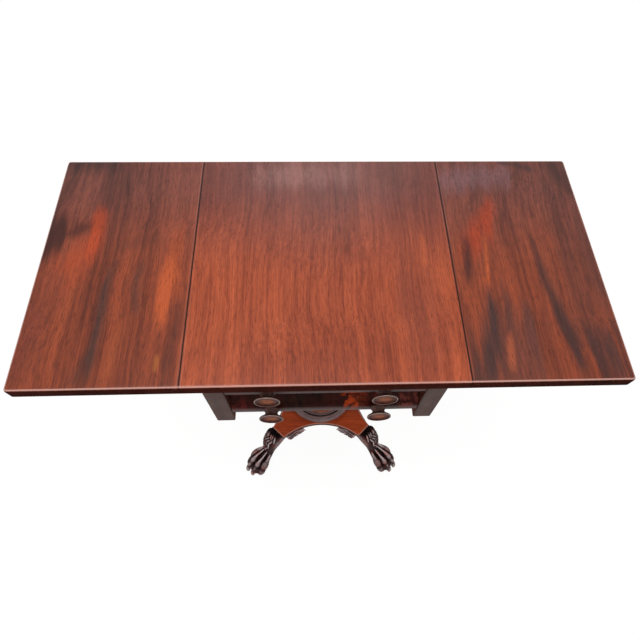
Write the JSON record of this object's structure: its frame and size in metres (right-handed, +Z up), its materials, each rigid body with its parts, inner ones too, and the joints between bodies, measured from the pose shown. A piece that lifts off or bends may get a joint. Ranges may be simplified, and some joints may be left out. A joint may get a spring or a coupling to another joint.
{
  "type": "drop-leaf end table",
  "caption": "Small pedestal table with hinged drop leaves on rule joints, swinging wooden brackets, bow-fronted drawers, a hollow-sided platform and carved paw feet.",
  "frame": {"origin": "on the floor under the centre of the table", "axes": "+Z up; the drawers face -Y; the leaves open towards -X and +X"},
  "size_m": [0.906, 0.44, 0.728],
  "materials": {
    "top_mahogany": "polished reddish-brown mahogany with dark streaks",
    "case_mahogany": "aged grey-brown mahogany, straight grain",
    "crotch_veneer": "polished dark crotch-figured mahogany veneer",
    "turned_mahogany": "turned and polished brown mahogany",
    "platform_veneer": "polished orange-brown veneer with a dark edge",
    "carved_mahogany": "near-black stained and polished carved wood",
    "secondary_wood": "plain unfinished pine or poplar",
    "iron": "dark wrought iron"
  },
  "bodies": {
    "table": {"back_panel": "case_mahogany", "block_screws": "iron", "bottom_board": "secondary_wood", "bottom_rail": "case_mahogany", "bracket_block_left": "secondary_wood", "bracket_block_right": "secondary_wood", "bracket_pins": "iron", "column": "turned_mahogany", "column_base_ring": "turned_mahogany", "column_block": "turned_mahogany", "column_wedge": "secondary_wood", "drawer_divider": "case_mahogany", "drawer_stops": "secondary_wood", "hinge_fixed_plates": "iron", "hinge_fixed_screws": "iron", "hinge_pins": "iron", "kickers": "secondary_wood", "leg_back_left": "carved_mahogany", "leg_back_right": "carved_mahogany", "leg_carving_back_left": "carved_mahogany", "leg_carving_back_right": "carved_mahogany", "leg_carving_front_left": "carved_mahogany", "leg_carving_front_right": "carved_mahogany", "leg_front_left": "carved_mahogany", "leg_front_right": "carved_mahogany", "leg_tenons": "secondary_wood", "platform_board": "platform_veneer", "platform_core": "secondary_wood", "post_back_left": "case_mahogany", "post_back_right": "case_mahogany", "post_front_left": "case_mahogany", "post_front_right": "case_mahogany", "side_lining_left": "secondary_wood", "side_lining_right": "secondary_wood", "side_panel_left": "case_mahogany", "side_panel_right": "case_mahogany", "top_centre": "top_mahogany", "top_rail": "case_mahogany", "top_screws": "iron", "upper_runners": "secondary_wood"},
    "leaf_left": {"leaf_left": "top_mahogany", "hinge_leaf_plates_left": "iron", "hinge_leaf_screws_left": "iron"},
    "leaf_right": {"leaf_right": "top_mahogany", "hinge_leaf_plates_right": "iron", "hinge_leaf_screws_right": "iron"},
    "bracket_left": {"fly_bracket_left": "secondary_wood"},
    "bracket_right": {"fly_bracket_right": "secondary_wood"},
    "drawer_upper": {"drawer_upper_front": "crotch_veneer", "drawer_upper_side_right": "secondary_wood", "drawer_upper_side_left": "secondary_wood", "drawer_upper_back": "secondary_wood", "drawer_upper_bottom": "secondary_wood", "drawer_upper_knobs": "turned_mahogany"},
    "drawer_lower": {"drawer_lower_front": "crotch_veneer", "drawer_lower_side_right": "secondary_wood", "drawer_lower_side_left": "secondary_wood", "drawer_lower_back": "secondary_wood", "drawer_lower_bottom": "secondary_wood", "drawer_lower_knobs": "turned_mahogany"}
  },
  "joints": [
    {"name": "leaf_left_drop", "type": "hinge", "parent": "table", "child": "leaf_left", "pos_m": [-0.21, 0, 0.708], "axis": [0, -1, 0], "range_deg": [0, 90]},
    {"name": "leaf_right_drop", "type": "hinge", "parent": "table", "child": "leaf_right", "pos_m": [0.21, 0, 0.708], "axis": [0, 1, 0], "range_deg": [0, 90]},
    {"name": "bracket_left_swing", "type": "hinge", "parent": "table", "child": "bracket_left", "pos_m": [-0.18025, 0.014, 0.675], "axis": [0, 0, 1], "range_deg": [-90, 0]},
    {"name": "bracket_right_swing", "type": "hinge", "parent": "table", "child": "bracket_right", "pos_m": [0.18025, 0.014, 0.675], "axis": [0, 0, -1], "range_deg": [-90, 0]},
    {"name": "drawer_upper_slide", "type": "slide", "parent": "table", "child": "drawer_upper", "axis": [0, -1, 0], "range_m": [0, 0.26]},
    {"name": "drawer_lower_slide", "type": "slide", "parent": "table", "child": "drawer_lower", "axis": [0, -1, 0], "range_m": [0, 0.26]}
  ]
}
